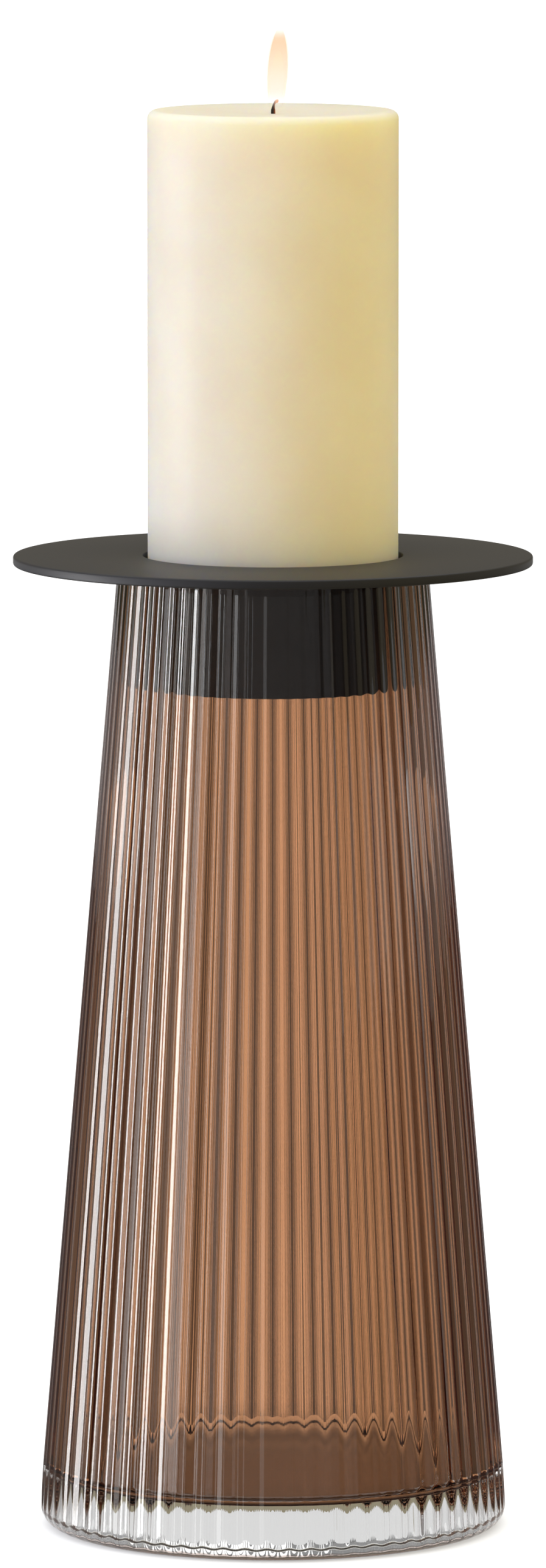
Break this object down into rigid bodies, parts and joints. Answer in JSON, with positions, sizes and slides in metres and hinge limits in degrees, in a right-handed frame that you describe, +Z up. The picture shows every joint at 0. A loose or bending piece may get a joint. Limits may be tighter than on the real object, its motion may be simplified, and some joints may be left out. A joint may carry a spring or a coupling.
{
  "type": "glass candlestick",
  "caption": "Tall flared reeded-glass candlestick with a lift-off black metal plate and neck collar that hold a wide pillar candle.",
  "frame": {"origin": "centre of the flat underside of the glass body, on the surface it stands on", "axes": "+Z up along the common axis of the glass body, plate and candle; -Y is the front, +X to the right seen from the front; the wick leans to +X"},
  "size_m": [0.166, 0.166, 0.4589],
  "materials": {
    "reeded_glass": "clear polished glass with a translucent copper-brown lustre on the inside",
    "black_metal": "satin black powder coat",
    "wax": "smooth ivory paraffin wax, a little see-through",
    "wick": "waxed cotton braid, charred at the burnt end"
  },
  "bodies": {
    "glass": {"glass_body": "reeded_glass"},
    "insert": {"top_plate": "black_metal", "neck_collar": "black_metal", "seat_disc": "black_metal"},
    "candle": {"candle": "wax", "wick": "wick"}
  },
  "joints": [
    {"name": "insert_lift", "type": "slide", "parent": "glass", "child": "insert", "axis": [0, 0, 1], "range_m": [0, 0.045]},
    {"name": "candle_lift", "type": "slide", "parent": "insert", "child": "candle", "axis": [0, 0, 1], "range_m": [0, 0.02]}
  ]
}
